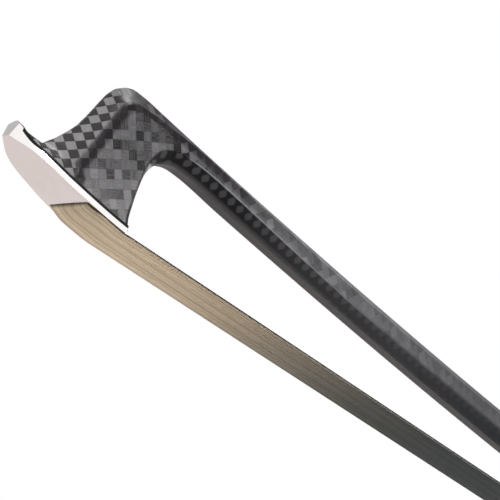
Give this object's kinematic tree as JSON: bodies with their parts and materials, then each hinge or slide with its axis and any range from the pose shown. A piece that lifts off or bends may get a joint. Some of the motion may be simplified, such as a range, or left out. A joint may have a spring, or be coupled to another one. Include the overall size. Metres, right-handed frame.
{
  "type": "cello bow",
  "caption": "Cello bow with a moulded carbon-fibre stick and head, silver tip plate, flat hair ribbon, and a frog that slides along the stick as the end button turns its screw.",
  "frame": {"origin": "under the middle of the bow's length, on the flat that it stands on, hair down", "axes": "+X from the head to the button, +Y across the bow, +Z from the hair to the stick"},
  "size_m": [0.7114, 0.0142, 0.0291],
  "materials": {
    "carbon_fibre": "woven carbon fibre under clear gloss resin",
    "polished_silver": "polished silver with fine hairlines",
    "winding_silver": "wound silver lapping",
    "screw_steel": "turned steel",
    "eyelet_brass": "machined brass",
    "ebony": "polished ebony",
    "mother_of_pearl": "polished mother of pearl",
    "black_liner": "thin black liner",
    "wedge_wood": "bare maple wedge",
    "bow_hair": "flat band of pale horsehair",
    "thumb_leather": "thin black goatskin"
  },
  "bodies": {
    "stick": {"stick": "carbon_fibre", "tip_liner": "black_liner", "tip_plate": "polished_silver", "tip_plug": "wedge_wood", "tip_knot": "bow_hair", "hair_ribbon": "bow_hair", "winding": "winding_silver", "thumb_grip": "thumb_leather"},
    "screw": {"screw": "screw_steel", "button_front_ring": "polished_silver", "button_core": "ebony", "button_rear_ring": "polished_silver", "button_pearl": "mother_of_pearl"},
    "frog": {"frog_block": "ebony", "frog_lining": "polished_silver", "lining_screw_front": "polished_silver", "lining_screw_rear": "polished_silver", "eyelet": "eyelet_brass", "ferrule": "polished_silver", "spread_wedge": "wedge_wood", "frog_plug": "wedge_wood", "frog_knot": "bow_hair", "slide_base": "ebony", "slide_pearl": "mother_of_pearl", "heel_plate": "polished_silver", "heel_pin_lower": "polished_silver", "heel_pin_upper": "polished_silver", "eye_ring_left": "polished_silver", "eye_ring_right": "polished_silver", "eye_pearl_left": "mother_of_pearl", "eye_pearl_right": "mother_of_pearl"}
  },
  "joints": [
    {"name": "screw_turn", "type": "hinge", "parent": "stick", "child": "screw", "pos_m": [0.3339, 0, 0.024], "axis": [-1, 0, 0], "range_deg": [-2160, 720]},
    {"name": "frog_slide", "type": "slide", "parent": "stick", "child": "frog", "axis": [1, 0, 0], "range_m": [-0.0042, 0.0014], "deforming": ["hair_ribbon"]}
  ],
  "couplings": [
    {"joint": "screw_turn", "follows": "frog_slide", "rad_per_m": 8976}
  ]
}
